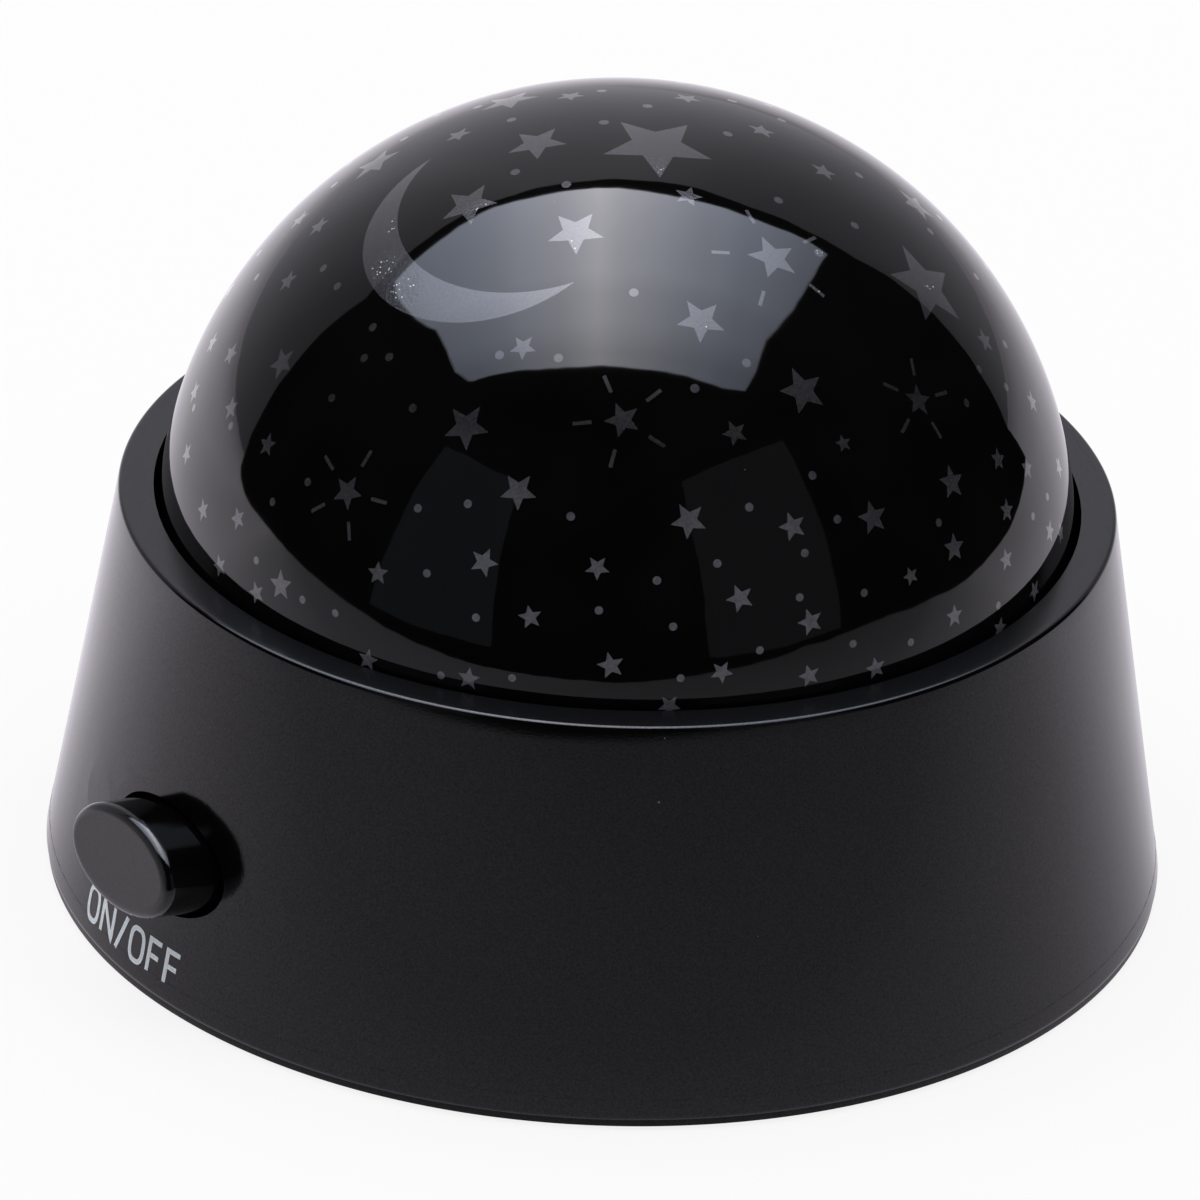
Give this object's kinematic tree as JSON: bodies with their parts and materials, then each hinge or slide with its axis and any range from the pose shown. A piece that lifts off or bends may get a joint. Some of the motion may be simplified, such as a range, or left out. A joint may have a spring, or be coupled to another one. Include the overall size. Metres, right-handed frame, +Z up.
{
  "type": "star night light projector",
  "caption": "Battery night light with a round flared base, a lift-off clear dome over a black mask with star and moon windows, and an oval push button.",
  "frame": {"origin": "on the dome's axis, in the plane that the feet stand on", "axes": "+Z up along the dome's axis, -Y the front, so the button is at the front left"},
  "size_m": [0.1138, 0.1138, 0.0827],
  "materials": {
    "housing_black": "moulded ABS, satin with a very fine grain",
    "button_black": "moulded ABS, satin",
    "dome_clear": "clear polystyrene, polished outside and crinkled behind the windows",
    "mask_black": "black film, glossy through the clear dome",
    "deck_white": "white ABS, matt",
    "screw_steel": "zinc-plated steel",
    "board_green": "green solder mask",
    "led_clear": "clear epoxy",
    "chip_black": "black chip with a dull face",
    "spring_steel": "nickel-plated spring steel",
    "switch_white": "white nylon",
    "switch_blue": "blue nylon",
    "bracket_grey": "grey ABS",
    "foot_rubber": "soft rubber, matt",
    "cell_jacket": "printed metal sleeve, plain",
    "wire_red": "PVC insulation",
    "wire_black": "PVC insulation",
    "wire_white": "PVC insulation"
  },
  "bodies": {
    "base": {"housing": "housing_black", "bottom_cover": "housing_black", "deck_plate": "deck_white", "deck_screws": "screw_steel", "led_board": "board_green", "board_screws": "screw_steel", "center_led": "led_clear", "colour_leds": "led_clear", "resistors": "chip_black", "push_switch": "switch_blue", "switch_bracket": "bracket_grey", "switch_screws": "screw_steel", "cover_screws": "screw_steel", "rubber_feet": "foot_rubber", "battery_cell_1": "cell_jacket", "battery_cell_2": "cell_jacket", "battery_cell_3": "cell_jacket", "battery_springs": "spring_steel", "battery_contacts": "spring_steel", "wire_red": "wire_red", "wire_black": "wire_black", "wire_switch": "wire_white"},
    "button": {"star_button": "button_black", "switch_plunger": "switch_white", "button_spring": "spring_steel"},
    "dome": {"dome_shell": "dome_clear", "star_mask": "mask_black", "mask_retainer": "mask_black"},
    "door": {"battery_door": "housing_black", "door_screw": "screw_steel"}
  },
  "joints": [
    {"name": "button_press", "type": "slide", "parent": "base", "child": "button", "axis": [0.788, 0.5938, -0.1628], "range_m": [0, 0.002], "stiffness_N_per_m": 800, "springref_m": -0.002, "deforming": ["button_spring"]},
    {"name": "dome_lift", "type": "slide", "parent": "base", "child": "dome", "axis": [0, 0, 1], "range_m": [0, 0.06]},
    {"name": "door_swing", "type": "hinge", "parent": "base", "child": "door", "pos_m": [0.004, -0.02065, 0.0012], "axis": [-1, 0, 0], "range_deg": [0, 50]}
  ]
}
